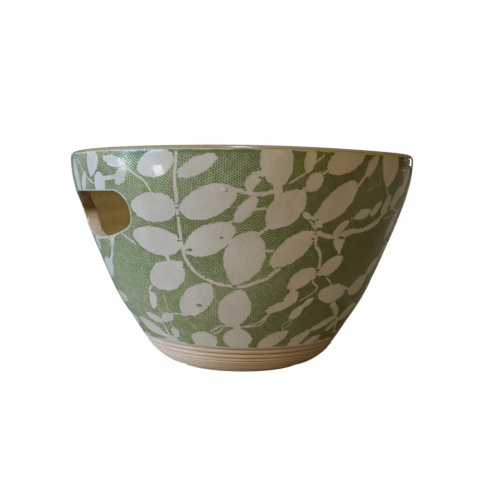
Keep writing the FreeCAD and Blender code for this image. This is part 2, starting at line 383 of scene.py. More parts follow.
def vertex_values(piece, name, value_at):
    """Stores a value at every vertex of the piece, from its place on the true turned shape."""
    layer = piece.data.attributes.new(name, "FLOAT", "POINT")
    values = [value_at(vert.co) for vert in piece.data.vertices]
    layer.data.foreach_set("value", values)


# ---- node helpers
def tone(red, green, blue):
    """A colour written as on a paint chart, 0 to 255, as the shader's own values."""
    shares = [part / 255 for part in (red, green, blue)]
    linear = [s / 12.92 if s <= 0.04045 else ((s + 0.055) / 1.055) ** 2.4 for s in shares]
    return (*linear, 1.0)


def add(tree, kind, inputs=None, **settings):
    """A shader node with its settings, and its inputs as values or as links from other nodes."""
    node = tree.nodes.new("ShaderNode" + kind)
    for name, value in settings.items():
        setattr(node, name, value)
    for socket, value in (inputs or {}).items():
        if isinstance(value, bpy.types.NodeSocket):
            tree.links.new(value, node.inputs[socket])
        else:
            node.inputs[socket].default_value = value
    return node


def blend(tree, share, first, second, kind="MIX"):
    node = add(tree, "Mix", {0: share, 6: first, 7: second}, data_type="RGBA", blend_type=kind)
    return node.outputs[2]


def maths(tree, operation, *values):
    return add(tree, "Math", dict(enumerate(values)), operation=operation).outputs[0]


def times(tree, value, factor):
    return maths(tree, "MULTIPLY", value, factor)


def vectors(tree, operation, inputs):
    return add(tree, "VectorMath", inputs, operation=operation).outputs


def between(tree, value, low, high, to_low=0.0, to_high=1.0):
    """A smooth step from `to_low` to `to_high` as the value goes from `low` to `high`."""
    node = add(tree, "MapRange", {0: value, 1: low, 2: high, 3: to_low, 4: to_high},
               interpolation_type="SMOOTHSTEP")
    return node.outputs[0]


def grain(tree, place, scale, detail=2.0, rough=0.5):
    inputs = {"Vector": place, "Scale": scale, "Detail": detail, "Roughness": rough}
    return add(tree, "TexNoise", inputs).outputs["Fac"]


def own_value(tree, name):
    return add(tree, "Attribute", attribute_name=name).outputs["Fac"]


def object_place(tree):
    return add(tree, "TexCoord").outputs["Object"]


def new_group(name, inputs, outputs):
    """An empty shader node group: plain numbers in and out, and places in where the value is None."""
    tree = bpy.data.node_groups.new(name, "ShaderNodeTree")
    for socket, value in inputs.items():
        kind = "NodeSocketVector" if value is None else "NodeSocketFloat"
        item = tree.interface.new_socket(socket, in_out="INPUT", socket_type=kind)
        if value is not None:
            item.default_value = value
    for socket in outputs:
        tree.interface.new_socket(socket, in_out="OUTPUT", socket_type="NodeSocketFloat")
    return tree, tree.nodes.new("NodeGroupInput").outputs, tree.nodes.new("NodeGroupOutput").inputs


def use_group(tree, group, inputs):
    return add(tree, "Group", inputs, node_tree=group).outputs


def mottle_group():
    """Cloudy change in a coat's thickness, with fine grain in it."""
    tree, given, out = new_group(
        "coat mottle", {"Place": None, "Cloud size": 60.0, "Grain size": 1500.0}, ("Cloud", "Grain"))
    cloud = grain(tree, given["Place"], given["Cloud size"], 3.0, 0.55)
    fine = grain(tree, given["Place"], given["Grain size"], 2.0, 0.6)
    tree.links.new(between(tree, cloud, 0.3, 0.7), out["Cloud"])
    tree.links.new(between(tree, fine, 0.3, 0.7), out["Grain"])
    return tree


def speck_group():
    """Iron specks burnt through a coat."""
    tree, given, out = new_group(
        "iron specks", {"Place": None, "Spacing": 300.0, "Size": 0.16}, ("Speck",))
    cells = add(tree, "TexVoronoi", {"Vector": given["Place"], "Scale": given["Spacing"]})
    chance = add(tree, "SeparateColor", {0: cells.outputs["Color"]}).outputs[0]
    reach = times(tree, given["Size"], between(tree, chance, 0.55, 1.0))
    near = maths(tree, "SUBTRACT", reach, cells.outputs["Distance"])
    tree.links.new(between(tree, near, 0.0, 0.06), out["Speck"])
    return tree


def peel_group():
    """Slow ripple and fine peel of a fired glaze's surface."""
    tree, given, out = new_group(
        "glaze ripple", {"Place": None, "Ripple": 160.0, "Peel": 900.0, "Peel share": 0.3}, ("Height",))
    slow = grain(tree, given["Place"], given["Ripple"], 1.0)
    fine = grain(tree, given["Place"], given["Peel"], 1.0)
    height = maths(tree, "ADD", slow, times(tree, fine, given["Peel share"]))
    tree.links.new(height, out["Height"])
    return tree


NET_PITCH = 1.16  # mm from cell to cell
# The three ways the threads run: degrees, and how strongly they show on slack and on tight cloth.
NET_WAYS = ((58, 0.9, 1.25), (-2, 0.85, 0.5), (118, 0.8, 0.65))


def net_group():
    """The lace's net: rows of small open cells, pulled out of line as the cloth was draped."""
    tree, given, out = new_group(
        "lace net", {"Lace place": None, "Pitch": NET_PITCH, "Pull": 2.2, "Fill": 0.0},
        ("Thread", "Cell"))

    def drawn_aside(scale, rough, reach):
        """A noise over the cloth, and how far it draws the net aside."""
        inputs = {"Vector": given["Lace place"], "Scale": scale, "Detail": 1.0, "Roughness": rough}
        cloth = add(tree, "TexNoise", inputs).outputs
        aside = vectors(tree, "SUBTRACT", {0: cloth["Color"], 1: (0.5, 0.5, 0.5)})[0]
        return cloth["Fac"], vectors(tree, "SCALE", {0: aside, "Scale": reach})[0]

    drift, pull = drawn_aside(0.045, 0.4, given["Pull"])
    slight = drawn_aside(0.8, 0.5, 0.75)[1]
    place = vectors(tree, "ADD", {0: given["Lace place"], 1: pull})[0]
    place = vectors(tree, "ADD", {0: place, 1: slight})[0]
    pace = maths(tree, "DIVIDE", 4 * pi / sqrt(3), given["Pitch"])
    stretch = between(tree, drift, 0.38, 0.62)
    total = None
    for turn, slack, tight in NET_WAYS:
        way = (cos(radians(turn)), sin(radians(turn)), 0.0)
        along = vectors(tree, "DOT_PRODUCT", {0: place, 1: way})["Value"]
        wave = maths(tree, "COSINE", times(tree, along, pace))
        wave = times(tree, wave, between(tree, stretch, 0.0, 1.0, slack, tight))
        total = wave if total is None else maths(tree, "ADD", total, wave)
    uneven = grain(tree, given["Lace place"], 0.35, 2.0)
    total = maths(tree, "ADD", total, between(tree, uneven, 0.25, 0.75, -0.5, 0.5))
    filled = maths(tree, "ADD", total, given["Fill"])
    tree.links.new(between(tree, filled, 0.45, -0.9), out["Thread"])
    tree.links.new(between(tree, total, -1.0, 1.6), out["Cell"])
    return tree


MOTTLE = mottle_group()
SPECKS = speck_group()
PEEL = peel_group()
NET = net_group()


def new_finish(name, **fixed):
    """A material with its plain numbers set on the shader."""
    material = bpy.data.materials.new(name)
    material.use_nodes = True
    tree = material.node_tree
    shader = tree.nodes["Principled BSDF"]
    for socket, value in fixed.items():
        shader.inputs[socket.replace("_", " ")].default_value = value
    return material, tree, shader


GLAZED = {"Coat_Weight": 0.4, "Coat_Roughness": 0.07, "Specular_IOR_Level": 0.2}
SLIP_WHITE = tone(183, 175, 160)
SLIP_SHADE = tone(172, 163, 147)


def mottled(tree, place, cloud_size, grain_size):
    return use_group(tree, MOTTLE, {"Place": place, "Cloud size": cloud_size, "Grain size": grain_size})


def tinted(tree, colour, mask, strength, tint):
    """The colour with a tint over it, where the mask says, `strength` at most."""
    return blend(tree, times(tree, mask, strength), colour, tint)


def specked(tree, colour, place, spacing, size, strength, tint):
    specks = use_group(tree, SPECKS, {"Place": place, "Spacing": spacing, "Size": size})
    return tinted(tree, colour, specks["Speck"], strength, tint)


def surface(tree, shader, place, colour, peel_sizes, rough, depth=0.0001, peak=0.9, relief=None):
    """Colours the shader, and gives it a glaze's ripple, `depth` metres high and roughest at its peak."""
    tree.links.new(colour, shader.inputs["Base Color"])
    ripple, peel, share = peel_sizes
    sizes = {"Place": place, "Ripple": ripple, "Peel": peel, "Peel share": share}
    height = use_group(tree, PEEL, sizes)["Height"]
    tree.links.new(between(tree, height, 0.4, peak, *rough), shader.inputs["Roughness"])
    if relief is not None:
        height = maths(tree, "ADD", relief, height)
    bump = add(tree, "Bump", {"Height": height, "Distance": depth, "Strength": 1.0})
    tree.links.new(bump.outputs[0], shader.inputs["Normal"])


def white_slip_finish():
    """White slip: cloudy, finely grained, and warm where it thins."""
    material, tree, shader = new_finish("white slip under clear glaze", **GLAZED)
    place = object_place(tree)
    mottle = mottled(tree, place, 55.0, 1900.0)
    colour = blend(tree, mottle["Cloud"], SLIP_SHADE, SLIP_WHITE)
    colour = tinted(tree, colour, mottle["Grain"], 0.16, tone(140, 132, 118))
    colour = specked(tree, colour, place, 190.0, 0.05, 0.5, tone(92, 74, 52))
    thin = between(tree, own_value(tree, "thin"), 0.0, 1.0)
    colour = tinted(tree, colour, thin, 0.6, tone(150, 128, 98))
    surface(tree, shader, place, colour, (400.0, 1400.0, 0.5), (0.3, 0.42), 0.0002)
    return material


def lace_finish():
    """Green slip: leafy where it is thin, olive where it is thick, with the lace's net in it."""
    material, tree, shader = new_finish("green slip printed through lace", **GLAZED)
    place = object_place(tree)
    lace = add(tree, "UVMap", uv_map="lace").outputs[0]
    cloud = mottled(tree, place, 40.0, 1500.0)["Cloud"]
    thick = own_value(tree, "thick")
    leafy = blend(tree, cloud, tone(81, 107, 28), tone(101, 119, 46))
    olive = blend(tree, cloud, tone(77, 76, 6), tone(90, 87, 13))
    pool = own_value(tree, "pool")
    green = blend(tree, thick, leafy, olive)
    green = blend(tree, pool, green, tone(66, 94, 50))
    net = use_group(tree, NET, {"Lace place": lace, "Fill": times(tree, thick, 0.7)})
    bare = between(tree, thick, 0.0, 1.0, 0.65, 0.14)
    bare = times(tree, bare, between(tree, pool, 0.3, 1.0, 1.0, 0.15))
    # Pale threads where the net is sheer, and, at two places near the rim, pale threads as painted
    # highlights.
    open_net_and_glints = own_value(tree, "sheer_and_glints")
    show = maths(
        tree, "MAXIMUM", times(tree, net["Thread"], bare), times(tree, net["Thread"], open_net_and_glints))
    thread = blend(tree, open_net_and_glints, SLIP_SHADE, tone(204, 212, 196))
    colour = blend(tree, show, green, thread)
    surface(tree, shader, place, colour, (400.0, 1400.0, 0.5), (0.3, 0.45), 0.0002,
            relief=times(tree, net["Cell"], 0.9))
    return material


def liner_finish():
    material, tree, shader = new_finish(
        "honey glaze", Coat_Weight=0.15, Coat_Roughness=0.16, Specular_IOR_Level=0.1)
    place = object_place(tree)
    cloud = mottled(tree, place, 45.0, 900.0)["Cloud"]
    honey = blend(tree, cloud, tone(164, 143, 88), tone(170, 149, 94))
    honey = blend(tree, own_value(tree, "lip"), honey, tone(156, 142, 102))
    honey = tinted(tree, honey, own_value(tree, "floor"), 0.7, tone(112, 80, 42))
    honey = specked(tree, honey, place, 420.0, 0.2, 0.55, tone(74, 50, 26))
    surface(tree, shader, place, honey, (180.0, 900.0, 0.2), (0.22, 0.34))
    return material


def heel_finish():
    """Tan glaze: paler on the beads' crests and brown in the grooves, partly glaze pooled there and partly
    painted light and shade; painted shade under the slip's edge; painted light on one side and painted shade
    on the other.
    """
    material, tree, shader = new_finish("thin tan glaze", Coat_Weight=0.3, Coat_Roughness=0.15)
    place = object_place(tree)
    mottle = mottled(tree, place, 70.0, 1300.0)
    # Paler crests and brown grooves: partly glaze that pooled in the grooves, partly painted light on the
    # crests and painted shade in the grooves.
    crest = between(tree, own_value(tree, "crest"), 0.1, 0.75)
    tan = blend(tree, crest, tone(104, 76, 42), tone(198, 172, 136))
    # Painted shade: dark brown just under the white slip's edge.
    tan = blend(tree, own_value(tree, "under"), tan, tone(92, 66, 34))
    # Painted light, pale, on the side towards the lamps, and painted shade, dark brown, on the far side.
    painted_side_light = own_value(tree, "painted_side_light")
    tan = blend(tree, between(tree, painted_side_light, 0.5, 1.0, 0.0, 0.6), tan, tone(222, 200, 180))
    tan = blend(tree, between(tree, painted_side_light, 0.5, 0.0, 0.0, 0.4), tan, tone(94, 64, 30))
    tan = tinted(tree, tan, mottle["Cloud"], 0.3, tone(140, 114, 80))
    tan = tinted(tree, tan, mottle["Grain"], 0.2, tone(110, 84, 56))
    tan = specked(tree, tan, place, 330.0, 0.16, 0.6, tone(80, 54, 34))
    surface(tree, shader, place, tan, (300.0, 1800.0, 0.4), (0.35, 0.5))
    return material


def slot_finish():
    """The slot's lining: brown under its top edge as painted shade, pale towards its lower edge as painted
    light, and white at its arris.
    """
    material, tree, shader = new_finish("honey glaze on the cut face", Coat_Weight=0.5, Coat_Roughness=0.08)
    place = object_place(tree)
    cloud = mottled(tree, place, 90.0, 1200.0)["Cloud"]
    # Dark brown as painted shade, painted pale lower down as painted light.
    honey = blend(tree, cloud, tone(96, 68, 34), tone(114, 84, 46))
    low = own_value(tree, "low")
    honey = blend(tree, between(tree, low, 0.1, 0.45), honey, tone(182, 166, 138))
    honey = blend(tree, between(tree, low, 0.55, 1.0), honey, tone(198, 186, 162))
    honey = blend(tree, between(tree, own_value(tree, "arris"), 0.2, 0.9), honey, SLIP_SHADE)
    honey = specked(tree, honey, place, 380.0, 0.18, 0.5, tone(84, 58, 32))
    surface(tree, shader, place, honey, (260.0, 1200.0, 0.3), (0.25, 0.36))
    return material


def clay_finish():
    material, tree, shader = new_finish("bare stoneware")
    place = object_place(tree)
    mottle = mottled(tree, place, 60.0, 1600.0)
    clay = blend(tree, mottle["Cloud"], tone(182, 158, 132), tone(200, 176, 148))
    clay = tinted(tree, clay, mottle["Grain"], 0.35, tone(128, 102, 78))
    clay = specked(tree, clay, place, 360.0, 0.2, 0.7, tone(78, 54, 38))
    surface(tree, shader, place, clay, (500.0, 2600.0, 0.8), (0.7, 0.9), 0.00016, peak=1.2)
    return material


# ---- the slot
def slot_outline(grow, cuts=10):
    """(y, z) points round the slot's mouth, `grow` outside it, counter-clockwise from its end at +y."""
    half_width = SLOT_WIDTH / 2 + grow
    end_radius = SLOT_END_RADIUS + grow
    sag_radius = SLOT_SAG_RADIUS + grow
    top = SLOT_TOP + grow
    bottom = SLOT_TOP - SLOT_HEIGHT - grow
    end_y = half_width - end_radius
    end_z = bottom + sag_radius - sqrt((sag_radius - end_radius) ** 2 - end_y**2)
    corner_radius = top - end_z
    corner_y = half_width - corner_radius
    lean = asin(end_y / (sag_radius - end_radius))

    def sweep(centre, radius, start, end, count):
        angles = [start + (end - start) * step / count for step in range(count)]
        return [centre + Vector((cos(a), sin(a))) * radius for a in angles]

    outline = sweep(Vector((corner_y, end_z)), corner_radius, 0, pi / 2, cuts)
    flat = 2 * cuts
    for step in range(flat):
        outline.append(Vector((corner_y - 2 * corner_y * step / flat, top)))
    outline += sweep(Vector((-corner_y, end_z)), corner_radius, pi / 2, pi, cuts)
    outline += sweep(Vector((-end_y, end_z)), end_radius, pi, 1.5 * pi - lean, cuts)
    outline += sweep(Vector((0, bottom + sag_radius)), sag_radius,
                     1.5 * pi - lean, 1.5 * pi + lean, 2 * cuts)
    outline += sweep(Vector((end_y, end_z)), end_radius, 1.5 * pi + lean, tau, cuts)
    return outline


def slot_tool(grow):
    """A block of the slot's shape through the wall it is cut in."""
    bm = bmesh.new()
    clear_of_rim = -RIM_RADIUS * 1.2
    mouth = bm.faces.new([bm.verts.new((clear_of_rim, *point)) for point in slot_outline(grow)])
    push_out(bm, [mouth], (RIM_RADIUS, 0, 0))
    return as_object("slot tool", bm)


# ---- the lace pattern
LACE_REPEATS = 2  # times round the bowl
LEAF_REACH = 6.0  # of a leaf's cutter, each side of the surface
LEAF_STEPS = 120
LEAF_TAPER = 0.26
RAGGED_CELL = 0.75  # size of the lace's stitches at a leaf's edge
RAGGED_STITCHES = 0.9  # how far they tear the edge in and out, one by one
RAGGED_TEARS = 0.8  # and several together
STEM_STEP = 0.55
STEM_SINK = 0.05
STEM_SWAY = 0.5  # degrees round
STEM_KNOTS = 0.3  # shares of the stem's width
STEM_SWELL = 0.35
MEAN_WALL_RADIUS = 72
# Leaves: degrees round from the slot, per cent of the way up from the slip line to the lip, lean in
# degrees from level, length and breadth in mm, and then, where they are given, how much broader the
# leaf is towards its tip, and how sharp its tip and its base are.
SPRIGS = {
    "slot_sprig": [
        (-7.2, 39, 22, 22, 10), (-6.6, 22.6, 0, 17, 7), (-11, 9.5, 0, 17, 8),
        (-8.5, 52.5, 28, 13, 7), (9, 55.5, 60, 8, 4), (9.5, 7.5, -22, 18, 8, 0, 0.1, 0.3),
    ],
    "rim_sprig": [
        (-6, 89.5, 100, 17, 10), (1.5, 86, 47, 12, 5), (9.4, 95, 68, 13, 10, 0.35, 0.0, 0.6),
        (12.6, 85, 60, 10.5, 8.6, 0, 0.0, 0.0), (20.6, 95.8, -14, 14, 5), (23.4, 88.5, 45, 10, 5.8),
    ],
    "heel_sprig": [
        (17.7, 13.5, -20, 10, 5.5), (22.3, 24, 62, 11, 4.5), (26.6, 15, 30, 9.5, 5),
        (27.3, 6.5, 75, 7, 4.5), (43.4, 4, 0, 12.5, 9.5, 0, 0.1, 0.1), (60.6, 5.5, 85, 12, 12.6, 0, 0.1, 0.1),
    ],
    "tall_sprig": [
        (36.7, 94.4, 15, 18.8, 11.2), (49.4, 93, 25, 19, 7), (33.7, 73.2, 0, 22.5, 13, 0.03, -0.15, 0.2),
        (52.3, 76.1, 22, 26.4, 13.4, 0, 0.26, 0.05), (32.6, 56.5, -8, 25, 13.5), (51.6, 57.8, 29, 25.5, 13),
        (33.1, 38.4, 25, 20.8, 13.8), (44, 26.6, 46, 23, 12.2, 0, 0.5, 0.2),
    ],
    "middle_sprig": [
        (63, 48.4, 72, 26.5, 17.2, 0.1, 0.2, 0.7), (59.6, 22.5, 72, 20.8, 14.2, -0.05, 0.55, 0.3),
        (79.7, 53.4, 43, 23.8, 11.2),
        (75.7, 73, 45, 21.5, 13.5), (92.7, 76.5, 45, 25.2, 12, 0, 0.15, 0.5), (85.4, 38.2, 36, 15, 8.6),
        (96.7, 44.2, 37, 13.8, 8, 0.08, 0.2, 0.5), (63.4, 72.6, 53, 14.5, 6.3), (65.5, 86.3, 52, 10.5, 5.5),
        (86.8, 67.2, 100, 9, 6),
    ],
    "upper_sprig": [
        (72, 95.5, 95, 21, 14), (81.9, 96.8, 78, 12.5, 4.8), (83.6, 86.2, 50, 9.5, 7),
        (94.3, 98, 27, 22.6, 11.5), (104.3, 95, 55, 12, 5), (114.2, 95.8, 87, 20, 14.4, 0.15, 0.2, 0.6),
    ],
    "creeping_sprig": [
        (96.4, 63.8, 45, 9, 4), (104.6, 70.8, 17, 11.2, 4.8), (97.6, 56.2, 105, 9.2, 6, 0.3, 0, 0.6),
        (110.8, 73.6, 50, 9.5, 4.3), (116.6, 75.2, 68, 10.5, 6), (112.2, 65.5, 25, 12, 3.5),
        (100.4, 61.4, 14, 9, 3.4), (123, 79.3, 62, 13.5, 7.6), (129, 87, 60, 15, 9),
        (129.5, 65, 68, 17, 10), (137.5, 84, 75, 14, 7.5), (136.5, 62, 70, 13, 7),
    ],
    "low_sprig": [
        (78, 23.2, 22, 13, 4.5), (82.6, 27.6, 55, 8.6, 6), (86.8, 19.8, 60, 9, 4.6),
        (91, 25.4, 45, 6, 3.4), (78.6, 4.6, 38, 16.3, 7.2), (94.2, 4.6, 42, 13.6, 5.8),
    ],
    "broad_sprig": [
        (102.7, 29.2, -2, 17.2, 9.8), (119.3, 32.2, 25, 16, 10), (106.5, 12, 27, 17, 4.8),
        (104.2, 2.5, 25, 9.5, 4.5), (114.5, 9.5, 50, 8, 5), (123.5, 16.5, 30, 14, 9),
        (126.5, 41.8, 30, 13, 8), (133, 50, 60, 12, 7),
    ],
    "far_sprig": [
        (147, 94, 40, 18, 10), (146, 73, 30, 21, 11.5), (146, 54, 35, 19, 10.5),
        (143, 35.5, 40, 17, 9), (136, 19, 45, 13, 7), (148, 7, 30, 12, 6.5),
        (159.8, 88, 140, 17, 9.5), (160, 68.5, 145, 18, 10), (158.5, 49, 150, 17, 9.5),
        (156.5, 31, 145, 14, 8), (149.5, 21, 120, 11, 6.5),
    ],
}
# Stems: width in mm, then pairs of degrees round from the slot and height in mm, from end to end.
STEMS = [
    (1.8, 43.4, 99, 43.3, 95, 42.5, 90.5, 42.5, 86, 42.4, 81, 42.2, 76, 42, 70, 42.1, 64.5, 42.2, 58,
     42.4, 55, 43.5, 52.3, 45.3, 49.6, 47.7, 47.4, 50.6, 45.6, 53.4, 44.4, 56.3, 43.8, 59.7, 43.4,
     62.5, 43.2, 64.9, 43.9, 67.5, 45.1, 71.6, 46.8, 74.5, 50, 76.5, 51.2),
    (1.8, 86.5, 69, 87.4, 65.5, 87.9, 61.6, 89.2, 59.4, 90.9, 56.6, 91.4, 53.8, 91.4, 50.5),
    (0.9, 91.5, 49.6, 91.4, 47.6, 90.3, 45.5, 91.5, 44, 93.2, 42.7, 93.1, 41.4, 91.1, 39.3, 89.5, 38.3,
     86.8, 36.3),
    (3.4, 60, 26.5, 61, 21.5),
    (1.0, 75, 31.5, 72.5, 29.2, 70.5, 27, 68, 25.8, 63.5, 24.9),
    (0.9, 74.3, 30.8, 72.6, 27.8, 71.2, 25.8, 68, 24.8, 62, 24.6),
    (1.3, 25, 94.5, 26.5, 92.5, 27.8, 91.3, 29.8, 89.5, 32, 87.3, 33.5, 84.8, 34.3, 83),
    (1.3, -3, 97.5, 0, 95.2, 2.9, 91.3, 5.9, 88, 9, 86.2),
    (2.2, 15, 88.3, 21, 89),
    (1.1, 113.7, 86.2, 115.2, 83.5, 117, 81.2, 119.5, 79, 122, 77, 126, 75.8, 131, 75.5),
    (0.8, 117.5, 72.5, 120, 72.3, 123, 73, 128, 74),
    (0.8, 98, 71.3, 100.3, 72.5, 102.5, 73.4),
    (0.4, 103, 84.2, 106.3, 86, 110.5, 87.8),
    (1.5, 80.8, 85.2, 79.3, 82),
    (1.1, 85.8, 90.6, 88, 92.4),
    (2.2, 87, 67, 90, 65.5, 93, 64.6, 97, 65.5, 102, 66.8, 107, 67.4, 111, 69, 114, 71.5, 116.5, 74.3,
     119, 76),
    (0.8, 96.5, 46.8, 98.5, 45, 100.3, 42.8),
    (1.3, 104, 42, 110, 41, 113, 40),
    (3.0, 104.3, 34.3, 109, 31.2, 112.6, 28.3, 112.3, 25.3),
    (1.6, 112, 27, 117, 25, 122, 19, 129, 17),
    (1.6, 98, 21, 101, 22.5, 108, 26.5),
    (1.8, 103, 93, 101.8, 91, 100.5, 88.5, 99.5, 86),
    (1.0, 75.8, 86.4, 78.2, 89, 80.3, 90.6, 81.8, 92.5, 83.5, 95.3, 85, 96.8, 86.3, 98.3),
    (0.7, 29.3, 39, 29.5, 36, 29, 32, 29.5, 29.5),
    (1.3, 28, 28.2, 33, 29.5, 38, 29),
    (0.7, 37.6, 27.6, 40.8, 22.3),
    (1.6, 24.8, 42, 22.2, 40, 21.8, 37),
    (1.1, 23.2, 31, 24.5, 28.5, 26, 26),
    (1.1, 47.5, 21.8, 50.5, 23.6, 53, 25, 59, 25),
    (0.9, 48.5, 20.8, 52, 21.8, 54.5, 24.3),
    (1.3, 16.3, 65.5, 19, 63.2, 23, 60.3),
    (2.2, -4, 61.8, 3, 62.3, 9, 62.9, 13, 64),
    (3.5, 14, 19.5, 18.5, 17.3, 22, 15.8, 27, 15),
    (1.6, 21.5, 24, 22, 21.8, 21.5, 19.5, 22.5, 17.5),
    (1.0, 26.5, 24.2, 27.8, 22, 28, 20),
    (2.2, 27.5, 18, 25, 16.8, 21, 17),
    (2.6, 36, 53.2, 41.3, 52.6),
    (2.3, 10, 63.5, 8.5, 60.5, 6.8, 57, 4, 54, 0, 51, -4, 48),
    (2.1, 57.5, 83.7, 61, 83.6, 64, 82.6, 66, 82, 69, 82.3, 72, 83.6),
    (1.2, 65.5, 75.8, 69.5, 76.5),
    (3.4, 72, 87, 72.6, 84, 73, 80),
    (2.6, 66.5, 88.5, 68.8, 91.5),
    (1.5, 66, 64, 65.3, 60),
    (1.4, 57.3, 63, 59.5, 66),
    (1.8, 35.7, 57, 35.9, 52),
    (1.6, 46, 58.5, 44, 57.5),
    (2.4, 82.7, 42.5, 82.4, 39.5),
    (1.1, 70.3, 58.9, 73, 58.8),
    (2.2, 99.3, 57, 98, 60, 96.5, 64),
    (1.0, 57, 70, 63, 72.5),
    (1.8, 71, 69.2, 67.5, 65.8, 65.8, 64.3),
    (2.6, 81.3, 74.7, 84, 72.3, 86.5, 69.5),
    (0.7, 85.4, 27.7, 82.6, 26.6, 81.6, 25, 82.4, 23.2),
    (0.7, 86, 27.3, 85.3, 25, 83, 23.8, 82.3, 23),
    (1.6, 153, 99, 153.6, 90, 153.2, 80, 153, 68, 152.4, 56, 150.8, 46, 148.5, 38, 145, 30, 140, 24,
     135, 20, 129, 17),
    (1.1, 133, 92, 135, 84, 136.5, 76, 135, 68, 133, 62, 132, 56),
    (1.0, 151, 33, 156, 28, 160, 24, 164, 21),
]


def on_wall(turn, height, coat):
    """The point on the wall that lies `turn` degrees round from the slot."""
    section = wall_point(height, coat)
    angle = radians(turn)
    return Vector((-section.x * cos(angle), -section.x * sin(angle), height))


def facing(turn, height, coat):
    """The frame of the wall at a place: across, up the wall and outward."""
    section = wall_point(height, coat)
    outward = wall_outward(height)
    frame_here = Matrix((
        (0, -outward.y, outward.x, section.x),
        (1, 0, 0, 0),
        (0, outward.x, outward.y, height),
        (0, 0, 0, 1),
    ))
    return Matrix.Rotation(pi + radians(turn), 4, "Z") @ frame_here


def leaf_tool(turn, rise, lean, length, breadth, egg=0.0, tip=LEAF_TAPER, base=LEAF_TAPER):
    """A leaf-shaped block, standing through the wall where a leaf of the lace lay."""
    height = SLIP_LINE.y + (LIP_Z - SLIP_LINE.y) * rise / 100
    bm = bmesh.new()
    bmesh.ops.create_circle(bm, cap_ends=True, segments=LEAF_STEPS, radius=1)
    for vert in bm.verts:
        around = atan2(vert.co.y, vert.co.x)
        side = sin(around)
        taper = tip if vert.co.x > 0 else base
        bulge = copysign(abs(side) ** (1 + taper), side)
        lens = Vector((cos(around) * length, bulge * breadth, 0)) / 2
        lens.y *= 1 + egg * cos(around)
        cells = Vector((lens.x, lens.y, turn + rise)) / RAGGED_CELL
        ragged = 1 + RAGGED_STITCHES / breadth * noise.noise(cells)
        ragged += RAGGED_TEARS / breadth * noise.noise(cells * 0.3)
        vert.co.xy = lens.xy * ragged
    push_out(bm, bm.faces[:], (0, 0, 2 * LEAF_REACH))
    bmesh.ops.translate(bm, vec=(0, 0, -LEAF_REACH), verts=bm.verts)
    place = facing(turn, height, SLIP + PRINT) @ Matrix.Rotation(radians(lean), 4, "Z")
    bmesh.ops.transform(bm, matrix=place, verts=bm.verts)
    return as_object("leaf tool", bm)


def stem_tool(turned, width, *path):
    """A round, uneven cut along a stem of the lace."""
    turns, heights = path[::2], path[1::2]
    lengths = [0.0]
    for step in range(len(turns) - 1):
        across = radians(turns[step + 1] - turns[step]) * MEAN_WALL_RADIUS
        lengths.append(lengths[-1] + hypot(across, heights[step + 1] - heights[step]))
    count = max(4, int(lengths[-1] / STEM_STEP))
    curve = bpy.data.curves.new("stem tool", "CURVE")
    curve.dimensions = "3D"
    curve.bevel_depth = width / 2
    curve.bevel_resolution = 1
    curve.use_fill_caps = True
    spline = curve.splines.new("POLY")
    spline.points.add(count - 1)
    for index in range(count):
        along = lengths[-1] * index / (count - 1)
        turn = float(np.interp(along, lengths, turns))
        height = float(np.interp(along, lengths, heights))
        sway = noise.noise(Vector((along * 0.12, turn * 0.1, 3.0)))
        spot = on_wall(turn + sway * STEM_SWAY + turned, height, SLIP + PRINT - STEM_SINK)
        spline.points[index].co = (*spot, 1)
        knots = noise.noise(Vector((along / 0.8, height, 7.0)))
        swell = noise.noise(Vector((along * 0.2, turn, 1.0)))
        spline.points[index].radius = 1 + STEM_KNOTS * knots + STEM_SWELL * swell
    drawn = bpy.data.objects.new("stem tool", curve)
    mesh = bpy.data.meshes.new_from_object(drawn)
    bm = bmesh.new()
    bm.from_mesh(mesh)
    bmesh.ops.remove_doubles(bm, verts=bm.verts, dist=WELD / 2)
    bpy.data.objects.remove(drawn)
    return as_object("stem tool", bm)


def lace_tools():
    tools = []
    for repeat in range(LACE_REPEATS):
        turned = repeat * 360 / LACE_REPEATS
        for leaves in SPRIGS.values():
            for turn, *rest in leaves:
                tools.append(leaf_tool(turn + turned, *rest))
        for stem in STEMS:
            tools.append(stem_tool(turned, *stem))
    return tools


def remove_all(tools):
    for tool in tools:
        bpy.data.objects.remove(tool)


# The cloth lay as on a cone: degrees on it for each degree round, and mm from its tip to the slip line.
LACE_CONE = 0.4
LACE_CONE_START = 108.0


def lay_lace(piece):
    """Gives the print the flat cloth's own place, in mm, as it was wrapped round the wall."""
    mesh = piece.data
    layer = mesh.uv_layers.new(name="lace")
    heights = WALL_SPOTS[:, 1]
    lengths = np.concatenate([[0], np.cumsum(np.linalg.norm(np.diff(WALL_SPOTS, axis=0), axis=1))])
    for face in mesh.polygons:
        middle = turn_of(face.center)
        for loop in face.loop_indices:
            spot = mesh.vertices[mesh.loops[loop].vertex_index].co
            turn = turn_of(spot)
            turn += 360 * round((middle - turn) / 360)
            reach = LACE_CONE_START + float(np.interp(spot.z, heights, lengths))
            angle = radians(turn - FRONT) * LACE_CONE
            layer.data[loop].uv = (reach * sin(angle), reach * cos(angle))


# ---- the pieces
def underside_line():
    """Section points under the foot, from the middle out to the bevel."""
    ring = FOOT_RADIUS - FOOT_RING
    hollow = ring - FOOT_RECESS
    points = [Vector((0, FOOT_RECESS))]
    for step in range(1, UNDERSIDE_STEPS):
        radius = hollow * step / UNDERSIDE_STEPS
        mark = UNDERSIDE_DEPTH * cos(radius * tau / UNDERSIDE_RING)
        points.append(Vector((radius, FOOT_RECESS - UNDERSIDE_DEPTH + mark)))
    edge = (hollow, FOOT_RECESS), (ring, 0.05), (ring + 0.3, 0), (FOOT_RADIUS - FOOT_BEVEL, 0)
    return points + [Vector(spot) for spot in edge]


